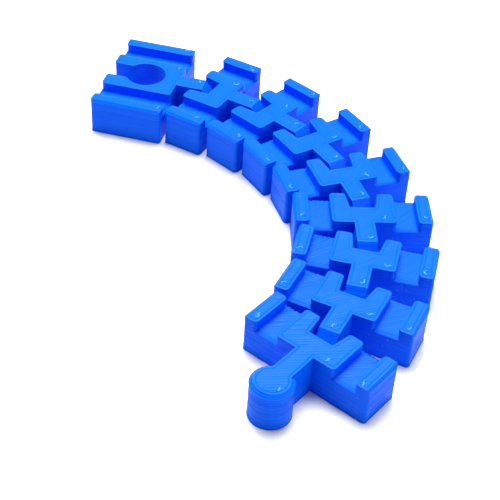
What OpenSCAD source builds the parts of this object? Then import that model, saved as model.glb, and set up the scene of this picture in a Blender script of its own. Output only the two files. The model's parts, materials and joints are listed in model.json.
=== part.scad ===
// Flexible toy railway track: nine printed links on upright hinges, with a
// keyhole socket at one end and a round-headed peg at the other.
// The origin is on the socket's axis at the base. +Z is up, and +X runs from
// the socket along its own link. Every link is drawn in its own frame first:
// the back face at x = 0, the track along +X, its left-hand side at +Y.

/* [Track] */
// Width across both rails
track_w = 40; // [30:0.5:50]
// Height from the base to the rail tops
track_h = 12; // [10:0.5:15]
// Depth of the wheel grooves
groove_depth = 3; // [2:0.25:4]
// Width of the raised centre band
band_w = 18.6; // [15:0.25:22]
// Width of each rail
rail_w = 4.4; // [3.5:0.1:6]
// Bevel along the rails' outer top edges
rail_bevel = 0.7; // [0.2:0.1:1.5]
// How far the wheel grooves widen at a block's ends
groove_flare = 1.2; // [0.4:0.1:1.6]
// How far the groove floors drop at a block's front end
groove_dip = 0.6; // [0.2:0.1:1.2]

/* [Links] */
// Number of middle links
middle_links = 7; // [1:1:20]
// Length of a middle link's block, and of the peg link's
link_l = 13.2; // [11:0.2:20]
// Length of the socket link's block
socket_link_l = 23.2; // [21:0.2:40]
// Rounding of the blocks' upright corners
corner_r = 1; // [0.4:0.1:1.5]

/* [Hinges] */
// Furthest bend of one hinge to either side, in degrees
max_bend = 17.5; // [8:0.5:20]
// Gap left between two rails at the furthest bend
rail_clearance = 0.15; // [0.1:0.05:0.5]
// Distance of the hinge axis inside the back face
hinge_inset = 3; // [2:0.25:3.5]
// Radius of the hub's upright wall
hub_r = 5.2; // [4.6:0.1:6.2]
// How far the hub's top and foot stand out past the stem's sides
hub_end_margin = 0.1; // [0.1:0.1:0.4]
// Height at which the hub's upright wall ends
hub_band_top = 6.4; // [4.6:0.2:7]
// Gap all round between hub and pocket
hub_clearance = 0.4; // [0.2:0.05:0.6]
// Width of the stem, the tongue's straight part
stem_w = 5.8; // [4:0.2:7]
// Distance by which the stem's top ends short of the hinge axis
stem_short = 0.5; // [0:0.1:2]
// Reach of the stem's sloped end past the hinge axis
stem_slope_reach = 2.2; // [1:0.1:2.4]
// Gap left between stem and slot at the furthest bend
stem_clearance = 0.6; // [0.1:0.05:0.8]
// Gap left between the stem's sloped end and the slot's end at the furthest bend
slot_clearance = 0.33; // [0.1:0.01:0.8]

/* [Couplers] */
// Radius of the socket
socket_r = 6.4; // [6:0.1:7]
// Distance of the socket's axis from its link's back face
socket_inset = 12; // [10:0.5:13]
// Width of the socket's mouth
mouth_w = 7; // [6:0.25:8]
// Rounding between the socket and its mouth
mouth_r = 1; // [0.5:0.1:1.5]
// Radius of the peg's head
peg_r = 5.8; // [5:0.1:6]
// Distance of the head's axis from its link's front face
peg_reach = 12.8; // [11:0.2:14]
// Width of the peg's neck
neck_w = 5.8; // [4.5:0.1:6]
// Bevel round the head's top
peg_bevel = 1; // [0.5:0.1:1.5]

/* [Pose] */
// Bend of each hinge to the right, from the socket on, in degrees
bends = [15, 13.5, 14.5, 14, 17, 14.5, 12.5, 14]; // [0:0.5:17.5]

/* [Hidden] */
$fn = 64;
past = 1; // how far a cut runs past the face it opens
print_blue = "dodgerblue";

last = middle_links + 1;
groove_z = track_h - groove_depth;
groove_w = (track_w - band_w) / 2 - rail_w;
groove_y = (band_w + groove_w) / 2;
hub_end_r = stem_w / 2 + hub_end_margin;
cone_h = hub_r - hub_end_r;
hub_top = hub_band_top + cone_h;
slant = hub_clearance * (sqrt(2) - 1);
// Two rails just clear each other at the furthest bend, and so do stem and slot.
link_gap = track_w / 2 * sin(max_bend) - hinge_inset * (1 - cos(max_bend)) + rail_clearance;
hinge_reach = link_gap + hinge_inset;
slot_end_w = stem_w / cos(max_bend) + 2 * stem_clearance;
slot_mouth_w = slot_end_w + 2 * hinge_inset * tan(max_bend);
slot_reach = stem_slope_reach * cos(max_bend) + stem_w / 2 * sin(max_bend) + slot_clearance;
slot_l = hinge_inset + slot_reach;

function block_l(i) = i == 0 ? socket_link_l : link_l;
function heading(i) = i == 0 ? 0 : heading(i - 1) - bends[(i - 1) % len(bends)];
function along(i) = [cos(heading(i)), sin(heading(i))];
function back_face(i) =
    i == 0 ? [-socket_inset, 0] : hinge(i - 1) - hinge_inset * along(i);
function hinge(i) = back_face(i) + (block_l(i) + hinge_reach) * along(i);

module place(i) {
    translate([back_face(i).x, back_face(i).y, 0])
        rotate([0, 0, heading(i)])
            children();
}

// What rounding takes off a square corner at the origin, in the +X +Y quarter.
module corner_relief(r) {
    difference() {
        square(r);
        translate([r, r])
            circle(r);
    }
}

// A profile drawn in X and Z, w wide across the track.
module across(w) {
    rotate([90, 0, 0])
        linear_extrude(w, center = true)
            children();
}

// The wheel groove's widened end at x = 0, where its floor drops by dip.
module groove_end(dip) {
    intersection() {
        translate([0, 0, groove_z - dip])
            linear_extrude(groove_depth + dip + past)
                union() {
                    translate([0, -groove_w / 2])
                        square([groove_flare, groove_w]);
                    for (side = [0, 1])
                        mirror([0, side])
                            translate([0, groove_w / 2])
                                corner_relief(groove_flare);
                }
        across(groove_w + 2 * groove_flare)
            polygon([[0, groove_z - dip], [groove_flare, groove_z],
                     [groove_flare, track_h + past], [0, track_h + past]]);
    }
}

module groove(l) {
    translate([-past, -groove_w / 2, groove_z])
        cube([l + 2 * past, groove_w, groove_depth + past]);
    groove_end(0);
    translate([l, 0, 0])
        mirror([1, 0, 0])
            groove_end(groove_dip);
}

// A straight block of track with rounded upright corners.
module block(l) {
    difference() {
        linear_extrude(track_h)
            difference() {
                translate([0, -track_w / 2])
                    square([l, track_w]);
                for (end = [0, 1], side = [0, 1])
                    translate([end * l, (side - 0.5) * track_w])
                        mirror([end, 0])
                            mirror([0, side])
                                corner_relief(corner_r);
            }
        for (side = [0, 1])
            mirror([0, side, 0]) {
                translate([0, groove_y, 0])
                    groove(l);
                translate([-past, track_w / 2, track_h])
                    rotate([-45, 0, 0])
                        translate([0, -rail_bevel, -rail_bevel / sqrt(2)])
                            cube([l + 2 * past, 2 * rail_bevel, 2 * rail_bevel]);
            }
    }
}

// The slot's outline: splayed, so that the stem can swing in it.
module slot_plan() {
    polygon([[-past, -slot_mouth_w / 2], [corner_r, -slot_mouth_w / 2],
             [slot_l, -slot_end_w / 2], [slot_l, slot_end_w / 2],
             [corner_r, slot_mouth_w / 2], [-past, slot_mouth_w / 2]]);
}

// The room that a neighbour's stem and hub take in a block's back.
module hub_pocket() {
    translate([0, 0, hub_band_top])
        linear_extrude(track_h - hub_band_top + past) {
            slot_plan();
            for (side = [0, 1])
                mirror([0, side])
                    translate([0, slot_mouth_w / 2])
                        corner_relief(corner_r);
        }
    translate([0, 0, -past])
        linear_extrude(hub_band_top + 2 * past)
            intersection() {
                slot_plan();
                translate([-past, -track_w / 2])
                    square([hinge_inset + past, track_w]);
            }
    translate([hinge_inset, 0, 0])
        rotate_extrude()
            polygon([[0, -past],
                     [hub_end_r + hub_clearance + slant, -past],
                     [hub_end_r + hub_clearance + slant, 0],
                     [hub_r + hub_clearance, cone_h - slant],
                     [hub_r + hub_clearance, hub_band_top + slant],
                     [hub_end_r + slant, hub_top + hub_clearance],
                     [0, hub_top + hub_clearance]]);
}

// The stem on a block's front, with the double-coned hub under its sloped end.
module tongue(l) {
    hinge_x = l + hinge_reach;
    across(stem_w)
        polygon([[l - past, 0], [hinge_x, 0], [hinge_x, hub_band_top],
                 [hinge_x + stem_slope_reach, hub_top],
                 [hinge_x - stem_short, track_h], [l - past, track_h]]);
    translate([hinge_x, 0, 0])
        rotate_extrude()
            polygon([[0, 0], [hub_end_r, 0], [hub_r, cone_h], [hub_r, hub_band_top],
                     [hub_end_r, hub_top], [0, hub_top]]);
}

// Keyhole: a round socket and its narrower mouth, with rounded lips between.
module keyhole() {
    lip_y = mouth_w / 2 + mouth_r;
    lip_x = sqrt(pow(socket_r + mouth_r, 2) - pow(lip_y, 2));
    circle(socket_r);
    translate([-socket_inset - past, -mouth_w / 2])
        square([socket_inset + past, mouth_w]);
    for (side = [0, 1])
        mirror([0, side]) {
            difference() {
                polygon([[0, 0], [-lip_x, 0], [-lip_x, lip_y]]);
                translate([-lip_x, lip_y])
                    circle(mouth_r);
            }
            translate([-socket_inset, mouth_w / 2])
                corner_relief(corner_r);
        }
}

// The peg: a neck as high as the track, and a round head with a bevelled top.
module peg(l) {
    translate([l + peg_reach, 0, 0]) {
        rotate_extrude()
            polygon([[0, 0], [peg_r, 0], [peg_r, track_h - peg_bevel],
                     [peg_r - peg_bevel, track_h], [0, track_h]]);
        translate([-peg_reach - past, -neck_w / 2, 0])
            cube([peg_reach + past, neck_w, track_h]);
    }
}

module socket_end() {
    color(print_blue)
        place(0) {
            difference() {
                block(socket_link_l);
                translate([socket_inset, 0, -past])
                    linear_extrude(track_h + 2 * past)
                        keyhole();
            }
            tongue(socket_link_l);
        }
}

module middle_link(i) {
    color(print_blue)
        place(i) {
            difference() {
                block(link_l);
                hub_pocket();
            }
            tongue(link_l);
        }
}

module peg_end() {
    color(print_blue)
        place(last) {
            difference() {
                block(link_l);
                hub_pocket();
            }
            peg(link_l);
        }
}

socket_end();
for (i = [1:middle_links])
    middle_link(i);
peg_end();
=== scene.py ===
# %% [markdown]
# # A flexible toy railway track
#
# The object is a strip of nine short blocks of toy railway track, printed in blue plastic in one go
# and joined by upright hinges, so that it bends like a snake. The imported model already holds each
# block at its real size and place. This lesson adds what a plain model lacks: the marks that a
# 3-D printer leaves on plastic, the plastic itself, and a small photographic studio around it.

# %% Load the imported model
import json
import random
from math import atan2, cos, degrees, pi, radians, sin, sqrt

import bmesh
import bpy
from mathutils import Matrix, Vector


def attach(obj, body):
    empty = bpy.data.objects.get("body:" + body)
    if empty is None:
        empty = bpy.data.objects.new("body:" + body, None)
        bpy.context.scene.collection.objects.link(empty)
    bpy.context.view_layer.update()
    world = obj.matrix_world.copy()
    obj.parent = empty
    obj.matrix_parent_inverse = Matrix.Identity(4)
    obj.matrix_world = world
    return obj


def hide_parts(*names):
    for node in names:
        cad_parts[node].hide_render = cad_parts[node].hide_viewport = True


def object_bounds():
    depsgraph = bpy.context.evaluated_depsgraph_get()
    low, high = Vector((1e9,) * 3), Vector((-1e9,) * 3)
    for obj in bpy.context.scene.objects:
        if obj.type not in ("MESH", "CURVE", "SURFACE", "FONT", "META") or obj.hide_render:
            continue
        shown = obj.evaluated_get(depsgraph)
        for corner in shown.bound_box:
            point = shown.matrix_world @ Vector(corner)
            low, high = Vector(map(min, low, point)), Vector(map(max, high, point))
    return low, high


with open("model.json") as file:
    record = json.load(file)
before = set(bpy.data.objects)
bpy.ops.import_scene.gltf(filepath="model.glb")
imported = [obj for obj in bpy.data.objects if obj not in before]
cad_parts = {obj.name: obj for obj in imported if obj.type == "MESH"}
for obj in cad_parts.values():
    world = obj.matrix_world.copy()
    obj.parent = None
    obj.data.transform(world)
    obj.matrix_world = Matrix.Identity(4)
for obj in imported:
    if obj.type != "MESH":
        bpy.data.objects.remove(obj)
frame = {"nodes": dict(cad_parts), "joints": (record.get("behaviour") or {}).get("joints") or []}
cad_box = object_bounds()
mm = 0.001
print("nodes:", ", ".join(sorted(frame["nodes"])))

# %% [markdown]
# ## The frame of each link
#
# Work on a part is easiest in the part's own frame. Here that is +X along the track, +Y to its left
# and the origin on the hinge at its back. A hinge's range is centred on the straight track, so the
# middle of the range says how far the track is bent there now, and the bends add up along it.

# %% Find where each link stands and which way it points
link_frames = {"socket_end": Matrix.Identity(4)}
heading = 0.0
for joint in frame["joints"]:
    heading -= radians(sum(joint["range_deg"]) / 2)
    hinge = Matrix.Translation(Vector(joint["pos_m"]))
    link_frames[joint["child"]] = hinge @ Matrix.Rotation(heading, 4, "Z")
print(f"{len(link_frames)} links; the last one is turned by {degrees(heading):.1f} degrees")

# %% [markdown]
# ## A clean copy of a link
#
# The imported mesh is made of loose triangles, so a copy is merged first. Dissolving the edges between
# triangles that lie in one plane turns each flat side back into one face, which is what the inset
# and the bevel below need. The copy is moved into the link's own frame for the time of the work.

# %% Copy, merge and turn into the link's frame
WELD = 0.002 * mm
FLAT = radians(0.4)


def clean_copy(name):
    bm = bmesh.new()
    bm.from_mesh(frame["nodes"][name].data)
    bmesh.ops.remove_doubles(bm, verts=bm.verts, dist=WELD)
    bmesh.ops.dissolve_limit(bm, angle_limit=FLAT, verts=bm.verts, edges=bm.edges)
    bmesh.ops.transform(bm, matrix=link_frames[name].inverted(), verts=bm.verts)
    bm.normal_update()
    return bm


trial = clean_copy("link_1")
print(f"link_1 has {len(trial.faces)} flat faces after merging")
trial.free()

# %% [markdown]
# ## Rounded edges
#
# A printer lays down a bead of plastic about 0.45 mm wide, so no printed edge is sharper than the
# bead's own round side. A small bevel round every level face gives that, and it is also what catches
# the light as a thin bright line. Only convex edges are taken: the corner between a groove's floor
# and its walls stays sharp. Points that the bevel leaves closer together than a crumb are merged.

# %% Bevel the rims of the level faces
EDGE_ROUND = 0.14 * mm
CRUMB = 0.02 * mm
BLUNT = radians(48)
LEVEL = 0.999


def is_level(face):
    return abs(face.normal.z) > LEVEL


def round_rims(bm):
    rims = [e for e in bm.edges if e.is_convex and e.calc_face_angle() > BLUNT
            and sum(is_level(f) for f in e.link_faces) == 1]
    bmesh.ops.bevel(bm, geom=rims, offset=EDGE_ROUND, offset_type="OFFSET", segments=2,
                    profile=0.5, affect="EDGES", clamp_overlap=False, material=-1)
    bmesh.ops.remove_doubles(bm, verts=bm.verts, dist=CRUMB)
    bm.normal_update()


trial = clean_copy("link_1")
sharp = len(trial.faces)
round_rims(trial)
print(f"rounding the rims took link_1 from {sharp} to {len(trial.faces)} faces")

# %% [markdown]
# ## Outline beads
#
# On every level face the printer first draws the outline and then fills the inside, and a furrow
# stays between the two. A single wide inset would fold over itself in a tight corner. So the outline
# is inset in two halves, and points that a half crowds together are merged before the next step. A
# third inset sinks to the furrow's bottom, and a fourth rises out of it. The face that is left inside
# is the infill.

# %% Inset a level face four times
HALF_OUTLINE = 0.3 * mm
KNOT = 0.22 * mm
FURROW_SIDE = 0.15 * mm
FURROW_DEPTH = 0.11 * mm


def draw_outline(bm, face, depth):
    inner = face
    for _ in range(2):
        bmesh.ops.inset_individual(bm, faces=[inner], thickness=HALF_OUTLINE, use_even_offset=True)
        rim = list(inner.verts)
        bmesh.ops.remove_doubles(bm, verts=rim, dist=KNOT)
        around = dict.fromkeys(f for v in rim if v.is_valid for f in v.link_faces)
        inner = max(around, key=lambda f: f.calc_area())
    for rise in (-depth, depth):
        bmesh.ops.inset_individual(bm, faces=[inner], thickness=FURROW_SIDE, depth=rise,
                                   use_even_offset=True)
    bm.normal_update()
    return inner


largest = max((f for f in trial.faces if is_level(f)), key=lambda f: f.calc_area())
infill = draw_outline(trial, largest, FURROW_DEPTH)
print(f"the outline of its base leaves {infill.calc_area() / mm ** 2:.0f} square mm to fill")

# %% [markdown]
# ## Cutting faces into strips
#
# Both the infill and the layers are rows of parallel lines, so one helper serves both. It runs a
# plane through the faces again and again with bisect_plane. Faces that lie behind the plane are
# finished and left out of the next cut, which keeps a hundred cuts quick. Lists are built through
# dict.fromkeys, which drops repeats and keeps the order, so that every run makes the same mesh.

# %% A helper that cuts faces by rising planes
SNAP = 1e-7


def reach(face, direction):
    return max(v.co.dot(direction) for v in face.verts)


def slice_faces(bm, faces, direction, cuts):
    done, ahead = [], list(faces)
    for cut in cuts:
        edges = dict.fromkeys(e for f in ahead for e in f.edges)
        verts = dict.fromkeys(v for f in ahead for v in f.verts)
        made = bmesh.ops.bisect_plane(bm, geom=[*ahead, *edges, *verts], dist=SNAP,
                                      plane_co=direction * cut, plane_no=direction)
        pieces = [g for g in made["geom"] if isinstance(g, bmesh.types.BMFace)]
        behind = {f: reach(f, direction) <= cut + SNAP for f in pieces}
        done += [f for f in pieces if behind[f]]
        ahead = [f for f in pieces if not behind[f]]
    return done + ahead


cube = bmesh.new()
bmesh.ops.create_cube(cube, size=1)
print(f"a cube cut twice has {len(slice_faces(cube, cube.faces, Vector((0, 0, 1)), (-0.2, 0.2)))} faces")
cube.free()

# %% [markdown]
# ## Infill lines
#
# Inside the outline the printer fills each level face with beads at 45 degrees to the track. It goes
# out and back again, so the beads lie in pairs, and each pair shows as a fine ridge. Each face is cut
# twice per pair, and every second cut is pressed down into a furrow. No two furrows close equally
# well, so each gets its own share of the depth. The depth itself is asked for at each point: on the
# real track the lines are strong near the ends of the grooves and faint in between.

# %% Cut and press the infill
PAIR = 0.9 * mm
SHALLOWEST = 0.3
ON_LINE = 1e-3
TOP_DEPTH = 0.09 * mm
DIAGONAL = Vector((1, 1, 0)) / sqrt(2)


def press_infill(bm, faces, rng, depth_at):
    lowest = min(v.co.dot(DIAGONAL) for f in faces for v in f.verts)
    highest = max(reach(f, DIAGONAL) for f in faces)
    start = lowest // PAIR * PAIR
    count = int((highest - start) / PAIR * 2) + 1
    cuts = [start + i * PAIR / 2 for i in range(1, count)]
    strips = slice_faces(bm, faces, DIAGONAL, cuts)
    down = faces[0].normal.z * -1
    shares = [rng.uniform(SHALLOWEST, 1) for _ in range(count)]
    sunk = set()
    for v in dict.fromkeys(v for f in strips for v in f.verts):
        place = (v.co.dot(DIAGONAL) - start) / PAIR
        if abs(place % 1 - 0.5) < ON_LINE:
            v.co.z += down * depth_at(v.co) * shares[int(place)]
            sunk.add(v)
    for edge in dict.fromkeys(e for f in strips for e in f.edges):
        if sunk.issuperset(edge.verts) or not all(f in strips for f in edge.link_faces):
            edge.smooth = False
    bm.normal_update()


plain = len(trial.faces)
press_infill(trial, [infill], random.Random(0), lambda co: TOP_DEPTH)
print(f"the infill cuts that into {len(trial.faces) - plain + 1} strips")
trial.free()

# %% [markdown]
# ## Layers
#
# The walls are a stack of beads, 0.3 mm high. Cutting them twice per layer gives one ring of points
# in each seam and one on each bead's middle. The seam rings move in by a few hundredths of a
# millimetre, and each bead moves in by its own small chance amount, as the plastic never flows quite
# evenly. The solid layers under a top face squeeze out a little further than the rest, and leave a
# faint ledge below each top edge. All moves go inwards, so a link never grows past its real size,
# and the gaps at the hinges stay as they were designed. A point in a corner has to move further than
# one on a flat wall, by its shell factor, and very sharp corners are held back.

# %% Cut and press the layers
LAYER = 0.3 * mm
SEAM_DEPTH = 0.025 * mm
BEAD_WOBBLE = 0.025 * mm
SLACK_BEAD = 0.05 * mm
SLACK_SHARE = 0.25
SOLID_TOP = 0.9 * mm
SHELL_LEDGE = 0.05 * mm
STEEP = 0.9
LEAST_SIDEWAYS = 0.2
MOST_STRETCH = 1.5
TRACK_TOP = cad_box[1].z


def press_layers(bm, height, rng):
    half = LAYER / 2
    steps = round(height / half)
    walls = [f for f in bm.faces if abs(f.normal.z) < STEEP]
    rings = range(2, steps - 1)
    slice_faces(bm, walls, Vector((0, 0, 1)), [i * half for i in rings])
    bm.normal_update()
    inset = [0.0] * (steps + 1)
    for i in range(1, steps, 2):
        slack = SLACK_BEAD if rng.random() < SLACK_SHARE else 0
        ledge = SHELL_LEDGE if i * half < height - SOLID_TOP else 0
        inset[i] = rng.uniform(0, BEAD_WOBBLE) + slack + ledge
    for i in range(2, steps, 2):
        inset[i] = max(inset[i - 1], inset[i + 1]) + SEAM_DEPTH
    moves = {}
    for v in bm.verts:
        ring = round(v.co.z / half)
        sideways = Vector((v.normal.x, v.normal.y, 0))
        on_wall = ring in rings and all(abs(f.normal.z) < STEEP for f in v.link_faces)
        if on_wall and abs(v.co.z - ring * half) < 2 * SNAP and sideways.length > LEAST_SIDEWAYS:
            stretch = min(v.calc_shell_factor(), MOST_STRETCH)
            moves[v] = sideways.normalized() * -inset[ring] * stretch
    seams = set()
    for v, move in moves.items():
        if round(v.co.z / half) % 2 == 0:
            seams.add(v)
        v.co += move
    for edge in dict.fromkeys(e for v in seams for e in v.link_edges):
        first, second = edge.verts
        if seams.issuperset(edge.verts) and abs(first.co.z - second.co.z) < SNAP:
            edge.smooth = False
    bm.normal_update()
    return len(moves)


print(f"a link is {round(TRACK_TOP / LAYER)} layers high")

# %% [markdown]
# ## Level faces
#
# The level faces of a link lie at three heights: the rails, the centre band and the stem's end at the
# top, the groove floors below them, and the base. A top face gets an outline and clear furrows. The
# base was printed on a smooth bed, so its furrows are much shallower. A groove floor gets no outline,
# and its furrows are deep only near its ends.

# %% Press each kind of level face
BASE_DEPTH = 0.02 * mm
FLOOR_END_DEPTH = 0.16 * mm
FLOOR_DEPTH = 0.03 * mm
GROOVE_END = 2.2 * mm


def box_of(face):
    xs = [v.co.x for v in face.verts]
    ys = [v.co.y for v in face.verts]
    return min(xs), max(xs), min(ys), max(ys)


def press_outlined(bm, face, furrow, depth, rng):
    press_infill(bm, [draw_outline(bm, face, furrow)], rng, lambda co: depth)


def press_floor(bm, face, rng):
    x0, x1, _, _ = box_of(face)
    back_end, front_end = x0 + GROOVE_END, x1 - GROOVE_END

    def depth_at(co):
        midway = back_end + WELD < co.x < front_end - WELD
        return FLOOR_DEPTH if midway else FLOOR_END_DEPTH

    parts = slice_faces(bm, [face], Vector((1, 0, 0)), (back_end, front_end))
    press_infill(bm, parts, rng, depth_at)


print(f"furrows: {TOP_DEPTH / mm:.2f} mm on top, {BASE_DEPTH / mm:.2f} mm on the base")

# %% [markdown]
# ## From mesh to piece
#
# Every finished mesh becomes an object that stays at the origin, because its place is in its points.
# Its faces are shaded smooth, and edges that turn by more than the crease angle are marked sharp, so
# that flat sides look flat. The piece rides on its link, so that it turns with it at the hinge.

# %% Turn a finished mesh into a piece
CREASE = radians(38)


def as_piece(bm, name, body):
    for face in bm.faces:
        face.smooth = True
    for edge in bm.edges:
        if edge.calc_face_angle(0) > CREASE:
            edge.smooth = False
    mesh = bpy.data.meshes.new(name)
    bm.to_mesh(mesh)
    bm.free()
    piece = bpy.data.objects.new(name, mesh)
    bpy.context.scene.collection.objects.link(piece)
    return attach(piece, body)


# %% [markdown]
# ## Printing the links
#
# Each link goes through the same steps: rounded rims, layers, then its level faces from the top down.
# It is turned back to its place in the track at the end. The boxes of its top faces are kept, from
# right to left, because the next sections place small marks on them. Each link has its own seed, so
# no two are alike, and each comes out the same in every run.

# %% Build every printed link
tops = {}


def print_link(name, rng):
    bm = clean_copy(name)
    round_rims(bm)
    moved = press_layers(bm, TRACK_TOP, rng)
    level = [f for f in bm.faces if is_level(f)]
    top = [f for f in level if f.calc_center_median().z > TRACK_TOP - WELD]
    base = [f for f in level if f.calc_center_median().z < WELD]
    floors = [f for f in level if f not in top and f not in base and f.normal.z > 0]
    tops[name] = sorted((box_of(f) for f in top), key=lambda box: box[2])
    for face in top:
        press_outlined(bm, face, FURROW_DEPTH, TOP_DEPTH, rng)
    for face in base:
        press_outlined(bm, face, BASE_DEPTH, BASE_DEPTH, rng)
    for face in floors:
        press_floor(bm, face, rng)
    open_edges = sum(not e.is_manifold for e in bm.edges)
    bmesh.ops.transform(bm, matrix=link_frames[name], verts=bm.verts)
    triangles = sum(len(f.verts) - 2 for f in bm.faces)
    print(f"{name}: {triangles} triangles, {moved} layer points, {open_edges} open edges")
    piece = as_piece(bm, "printed_" + name, name)
    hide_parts(name)
    return piece


printed = [print_link(name, random.Random(number)) for number, name in enumerate(link_frames)]

# %% [markdown]
# ## A bead on an arc
#
# Small marks of stray plastic are all short round beads. The spin operator sweeps a six-sided ring
# along an arc. Each ring is then drawn in towards the arc's core, most of all at the two ends, so
# that the bead looks like a pulled string. The two end holes are filled, which closes it.

# %% A helper that adds one bead
BEAD_STEPS = 8
BEAD_SIDES = 6
THIN_END = 0.25


def add_bead(bm, place, bead_r, arc_r, turn):
    start = Matrix.Translation((arc_r, 0, 0)) @ Matrix.Rotation(pi / 2, 4, "X")
    ring = bmesh.ops.create_circle(bm, segments=BEAD_SIDES, radius=bead_r, cap_ends=False,
                                   matrix=start)
    rim = dict.fromkeys(e for v in ring["verts"] for e in v.link_edges)
    bmesh.ops.spin(bm, geom=[*ring["verts"], *rim], cent=(0, 0, 0), axis=(0, 0, 1),
                   angle=turn, steps=BEAD_STEPS)
    fresh = [v for v in bm.verts if not v.tag]
    for v in fresh:
        angle = atan2(v.co.y, v.co.x) % (2 * pi)
        core = Vector((cos(angle), sin(angle), 0)) * arc_r
        v.co = core + (v.co - core) * (THIN_END + (1 - THIN_END) * sin(pi * min(angle / turn, 1)))
        v.tag = True
    ends = dict.fromkeys(e for v in fresh for e in v.link_edges if e.is_boundary)
    bmesh.ops.holes_fill(bm, edges=list(ends), sides=BEAD_SIDES)
    shell = list(dict.fromkeys(f for v in fresh for f in v.link_faces))
    bmesh.ops.recalc_face_normals(bm, faces=shell)
    bmesh.ops.transform(bm, matrix=place, verts=fresh)


def turned(angle, axis="Z"):
    return Matrix.Rotation(angle, 4, axis)


print(f"a bead has {BEAD_STEPS * BEAD_SIDES + 2} faces")

# %% [markdown]
# ## Scars where the nozzle lifted off
#
# Wherever the printer ends a line on a top face and travels away, the nozzle drags a last bit of
# plastic into a small curl. Every block has them in the same places, because each was printed along
# the same path: at the front end of both rails, near the front left corner of the centre band, and
# on the end of the stem, or on the peg's head. A curl is a bead that lies half sunk in the surface. A
# second, smaller one hooks back from its end, and a blob lies beside it.

# %% Lay the curls on the tops
CURL_R = 0.27 * mm
CURL_LIFT = 0.02 * mm
CURL_ARC = (0.6, 0.9)
CURL_TURN = (90, 170)
HOOK_ARC = (0.3, 0.5)
HOOK_TURN = (60, 150)
BLOB_TURN = radians(100)
BLOB_ASIDE = 0.4 * mm
RAIL_SETBACK = 2 * mm
BAND_SETBACK, BAND_FROM_EDGE = 2.2 * mm, 2.6 * mm
STEM_SETBACK, STEM_TO_LEFT = 2 * mm, 0.9 * mm
PEG_SETBACK, PEG_TO_LEFT = 3.2 * mm, 2.7 * mm


def curl_places(name):
    right_rail, band, left_rail = tops[name]
    front = right_rail[1]
    is_peg = name == "peg_end"
    tip = (band[1] - PEG_SETBACK, PEG_TO_LEFT) if is_peg else (band[1] - STEM_SETBACK, STEM_TO_LEFT)
    return [(front - RAIL_SETBACK, (right_rail[2] + right_rail[3]) / 2),
            (front - RAIL_SETBACK, (left_rail[2] + left_rail[3]) / 2),
            (front - BAND_SETBACK, band[3] - BAND_FROM_EDGE), tip]


def add_curls(name, rng):
    bm = bmesh.new()
    for x, y in curl_places(name):
        arc_r = rng.uniform(*CURL_ARC) * mm
        lean = turned(radians(rng.uniform(0, 360)))
        place = link_frames[name] @ Matrix.Translation((x, y, TRACK_TOP + CURL_LIFT)) @ lean
        turn = radians(rng.uniform(*CURL_TURN))
        add_bead(bm, place, CURL_R, arc_r, turn)
        hook_r = rng.uniform(*HOOK_ARC) * mm
        hook = place @ turned(turn) @ Matrix.Translation((arc_r + hook_r, 0, 0)) @ turned(pi)
        add_bead(bm, hook, 0.8 * CURL_R, hook_r, radians(rng.uniform(*HOOK_TURN)))
        blob = place @ Matrix.Translation((BLOB_ASIDE, -BLOB_ASIDE, 0))
        add_bead(bm, blob, 1.2 * CURL_R, 0.9 * CURL_R, BLOB_TURN)
    return as_piece(bm, "nozzle_curls_" + name, name)


curls = [add_curls(name, random.Random(40 + i)) for i, name in enumerate(link_frames)]
print(f"{len(curls)} sets of curls, {sum(len(c.data.polygons) for c in curls)} faces")

# %% [markdown]
# ## Specks
#
# Between two prints of the same layer the nozzle crosses the gaps in the track and leaves specks
# where it touches down on the next wall, mostly on the outer side of the curve. A speck is a bead
# that is swept hardly at all, so it is about as long as it is wide. It stands on the wall, so its
# place is turned upright first.

# %% Place specks on the front walls
SPECK_COUNTS = {"link_4": 3, "link_5": 5, "link_6": 7, "link_7": 4, "peg_end": 2}
SPECK_Y = (10, 18)
SPECK_Z = (1.5, 8)
SPECK_R = (0.12, 0.24)
SPECK_TURN = (60, 120)
SPECK_SUNK = 0.06 * mm
upright = turned(pi / 2, "Y")
walls = {name: boxes[0][1] + EDGE_ROUND for name, boxes in tops.items()}


def add_specks(name, count, rng):
    bm = bmesh.new()
    for _ in range(count):
        y, z = rng.uniform(*SPECK_Y) * mm, rng.uniform(*SPECK_Z) * mm
        spot = link_frames[name] @ Matrix.Translation((walls[name] - SPECK_SUNK, y, z))
        size = rng.uniform(*SPECK_R) * mm
        lean = turned(radians(rng.uniform(0, 360)))
        turn = radians(rng.uniform(*SPECK_TURN))
        add_bead(bm, spot @ upright @ lean, size, size * 0.8, turn)
    return as_piece(bm, "specks_" + name, name)


specks = [add_specks(name, count, random.Random(70 + i))
          for i, (name, count) in enumerate(SPECK_COUNTS.items())]
print(f"{sum(SPECK_COUNTS.values())} specks on {len(specks)} walls")

# %% [markdown]
# ## Threads
#
# Hair-thin threads of plastic stay behind too. One slants down the front wall of a link, and one
# lies at the foot of the last link. Each is one long thin bead on a wide arc.

# %% Lay two threads
THREAD_R = 0.07 * mm


def add_thread(name, label, place, arc_r, turn):
    bm = bmesh.new()
    add_bead(bm, link_frames[name] @ place, THREAD_R, arc_r, turn)
    return as_piece(bm, "thread_" + label, name)


on_wall = Matrix.Translation((walls["link_6"], 9 * mm, 5.6 * mm)) @ upright
at_foot = Matrix.Translation((walls["peg_end"] - 6.9 * mm, 9 * mm, 0.1 * mm))
threads = [add_thread("link_6", "slanting", on_wall, 2.6 * mm, radians(50)),
           add_thread("peg_end", "at_foot", at_foot, 7 * mm, radians(36))]
print(f"{len(threads)} threads, {2 * THREAD_R / mm:.2f} mm thick")

# %% [markdown]
# ## Shader maths as expressions
#
# A material is a graph of nodes, which is tiresome to read as calls. This small class wraps a
# node's output, so that an expression such as drift * 0.55 + layers * 0.45 adds its Math nodes by
# itself, with the wire on either side of the sign. Everything else goes through one method that
# takes a node's type, its settings and its inputs.

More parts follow.
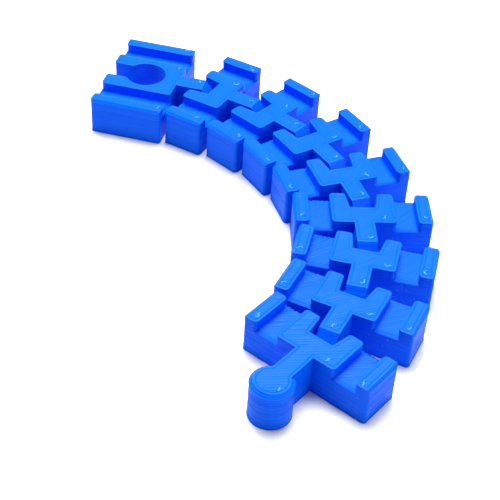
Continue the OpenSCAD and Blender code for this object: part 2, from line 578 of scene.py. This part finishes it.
# %% A wrapper for sockets and a maker of nodes
class Wire:
    def __init__(self, finish, socket):
        self.finish, self.socket = finish, socket

    def math(self, operation, first, second):
        return self.finish.add("ShaderNodeMath", {"operation": operation}, {0: first, 1: second})

    def __add__(self, other):
        return self.math("ADD", self, other)

    def __mul__(self, other):
        return self.math("MULTIPLY", self, other)

    __radd__ = __add__
    __rmul__ = __mul__


class Finish:
    def __init__(self, name):
        self.material = bpy.data.materials.new(name)
        self.material.use_nodes = True
        self.tree = self.material.node_tree
        self.tree.nodes.clear()

    def add(self, kind, settings=None, inputs=None, output=0):
        node = self.tree.nodes.new(kind)
        for name, value in (settings or {}).items():
            setattr(node, name, value)
        for key, value in (inputs or {}).items():
            if isinstance(value, Wire):
                self.tree.links.new(value.socket, node.inputs[key])
            else:
                node.inputs[key].default_value = value
        return Wire(self, node.outputs[output])

    def mix_colours(self, share, first, second):
        return self.add("ShaderNodeMix", {"data_type": "RGBA"},
                        {"Factor": share, "A": first, "B": second}, "Result")

    def show(self, shader):
        node = self.tree.nodes.new("ShaderNodeOutputMaterial")
        self.tree.links.new(shader.socket, node.inputs["Surface"])
        print(f"{self.material.name}: {len(self.tree.nodes)} nodes")
        return self.material


# %% [markdown]
# ## The blue plastic
#
# The filament is a deep, saturated blue with a satin surface and weak reflections. What varies is
# slight. The tone drifts over centimetres, as pigment does. Each layer cooled at its own rate, so the
# gloss changes from layer to layer. A noise that is stretched flat along the track's plane does that,
# because it changes quickly with height and slowly sideways. A fine bump stands for the grain of the
# beads, which is too small to model.

# %% Mix the plastic
DEEP_BLUE = (0.0, 0.085, 0.76, 1)
LIGHT_BLUE = (0.001, 0.112, 0.84, 1)
SATIN, DULL = 0.25, 0.5
PLASTIC_IOR = 1.46
WEAK_SHINE = 0.07
GRAIN_HEIGHT = 0.06 * mm
# A noise's scale says how many of its patches fit in a metre.
DRIFT, SMEARS, GRAIN = 90.0, 420.0, 5200.0
ACROSS_LAYERS = (60, 60, 4200)


def blue_plastic():
    finish = Finish("blue_plastic")
    place = finish.add("ShaderNodeTexCoord", output="Object")
    drift = finish.add("ShaderNodeTexNoise", {}, {"Vector": place, "Scale": DRIFT, "Detail": 3.0})
    flat = finish.add("ShaderNodeMapping", {}, {"Vector": place, "Scale": ACROSS_LAYERS})
    layers = finish.add("ShaderNodeTexNoise", {}, {"Vector": flat, "Scale": 1.0, "Detail": 2.0})
    grain = finish.add("ShaderNodeTexNoise", {}, {"Vector": place, "Scale": GRAIN, "Detail": 2.0})
    smears = finish.add("ShaderNodeTexNoise", {}, {"Vector": place, "Scale": SMEARS, "Detail": 4.0})
    tone = drift * 0.55 + layers * 0.45
    bump = finish.add("ShaderNodeBump", {}, {"Height": grain * 0.5 + smears, "Strength": 0.5,
                                             "Distance": GRAIN_HEIGHT})
    roughness = (layers * 0.6 + smears * 0.4) * (DULL - SATIN) + SATIN
    return finish.show(finish.add("ShaderNodeBsdfPrincipled", {}, {
        "Base Color": finish.mix_colours(tone, DEEP_BLUE, LIGHT_BLUE), "Roughness": roughness,
        "Normal": bump, "IOR": PLASTIC_IOR, "Specular IOR Level": WEAK_SHINE}))


blue = blue_plastic()
for piece in printed:
    piece.data.materials.append(blue)

# %% [markdown]
# ## Threads and curls
#
# Plastic that is drawn out thin cools at once and stays glossier. The curls, specks and threads get a
# shinier version of the same blue, with a paler blue mixed in by a noise: that paler blue is a painted
# highlight, standing in for the glints that light makes on them.

# %% Mix the drawn plastic
PULLED_BLUE = (0.01, 0.2, 0.9, 1)
# The paler blue is a painted highlight: it stands in for the glints of light on the curls, specks and
# threads.
GLINT_PAINTED_BLUE = (0.12, 0.42, 1.0, 1)
GLOSSY = 0.15
PULLS = 1500.0


def drawn_plastic():
    finish = Finish("drawn_plastic")
    place = finish.add("ShaderNodeTexCoord", output="Object")
    pulls = finish.add("ShaderNodeTexNoise", {}, {"Vector": place, "Scale": PULLS, "Detail": 2.0})
    return finish.show(finish.add("ShaderNodeBsdfPrincipled", {}, {
        "Base Color": finish.mix_colours(pulls, PULLED_BLUE, GLINT_PAINTED_BLUE),
        "Roughness": pulls * GLOSSY + GLOSSY, "IOR": PLASTIC_IOR}))


drawn = drawn_plastic()
for piece in [*curls, *specks, *threads]:
    piece.data.materials.append(drawn)

# %% [markdown]
# ## A small studio
#
# The track lies on a seamless white sheet. The sheet only has to look white, so it is a pale grey
# under strong light: a paler sheet would throw more light on the walls and flatten them. A large
# softbox overhead makes the tops bright, and it hangs a little to the back, so that its light grazes
# the infill lines. A weak one on either side lights the walls. The rest of the room is dim, so that
# the tops mirror nothing white and the gaps stay dark.

# %% Lay the sheet
PAPER_WHITE = (0.8, 0.8, 0.8, 1)
scene = bpy.context.scene
scene.view_settings.view_transform = "Standard"
lowest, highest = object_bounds()
middle = (lowest + highest) / 2


def white_sheet(half_width):
    bm = bmesh.new()
    bmesh.ops.create_grid(bm, x_segments=1, y_segments=1, size=half_width,
                          matrix=Matrix.Translation((middle.x, middle.y, 0)))
    mesh = bpy.data.meshes.new("sheet")
    bm.to_mesh(mesh)
    bm.free()
    sheet = bpy.data.objects.new("sheet", mesh)
    scene.collection.objects.link(sheet)
    finish = Finish("sheet_paper")
    mesh.materials.append(finish.show(finish.add("ShaderNodeBsdfPrincipled", {}, {
        "Base Color": PAPER_WHITE, "Roughness": 0.95, "Specular IOR Level": 0.2})))


white_sheet(4)
print(f"the track's middle is at {middle.x / mm:.0f}, {middle.y / mm:.0f} mm")

# %% [markdown]
# ## Lights
#
# A softbox is a square area light. It shines along its own -Z, so it is turned until its +Z points
# away from the track. Each line gives its direction from the track's middle, its distance and size in
# metres and its power in watts.

# %% Hang the lights
ROOM_LIGHT = 0.14


def softbox(name, direction, distance, size, power):
    light = bpy.data.lights.new(name, "AREA")
    light.shape = "SQUARE"
    light.size = size
    light.energy = power
    lamp = bpy.data.objects.new(name, light)
    scene.collection.objects.link(lamp)
    direction = Vector(direction).normalized()
    lamp.location = middle + direction * distance
    lamp.rotation_mode = "QUATERNION"
    lamp.rotation_quaternion = direction.to_track_quat("Z", "Y")


scene.world = bpy.data.worlds.new("dim_room")
scene.world.use_nodes = True
room = scene.world.node_tree.nodes["Background"].inputs
room["Color"].default_value = (1, 1, 1, 1)
room["Strength"].default_value = ROOM_LIGHT
softbox("overhead", (-0.12, 0.36, 1), 2.0, 1.3, 97)
softbox("inner_side", (-1, -0.1, 0.7), 2.0, 1.1, 12.5)
softbox("outer_side", (1, -0.3, 0.5), 2.0, 0.9, 15)
print(f"{len(bpy.data.lights)} softboxes, {sum(lamp.energy for lamp in bpy.data.lights):.0f} W")

# %% [markdown]
# ## The camera
#
# The view is from in front of the peg, a little to its left and 40 degrees above the sheet, with a
# long lens and the camera tipped slightly. The distance and the lens together set how strongly the
# far links shrink.

# %% Aim the camera
AZIMUTH = radians(12.25)
ELEVATION = radians(40.42)
TIP = radians(3.79)
DISTANCE = 344.3 * mm
LENS = 87.97
OFF_MIDDLE = Vector((6.5, -15.0, 0)) * mm

cad_middle = (cad_box[0] + cad_box[1]) / 2
back = Vector((sin(AZIMUTH) * cos(ELEVATION), -cos(AZIMUTH) * cos(ELEVATION), sin(ELEVATION)))
camera = bpy.data.objects.new("camera", bpy.data.cameras.new("camera"))
scene.collection.objects.link(camera)
scene.camera = camera
camera.data.sensor_width = 36
camera.data.lens = LENS
camera.data.clip_start = 10 * mm
camera.location = cad_middle + OFF_MIDDLE + back * DISTANCE
camera.rotation_mode = "QUATERNION"
camera.rotation_quaternion = ((-back).to_track_quat("-Z", "Y")
                              @ Matrix.Rotation(TIP, 3, "Z").to_quaternion())
print(f"the camera stands {DISTANCE / mm:.0f} mm away, with a {LENS:.0f} mm lens")
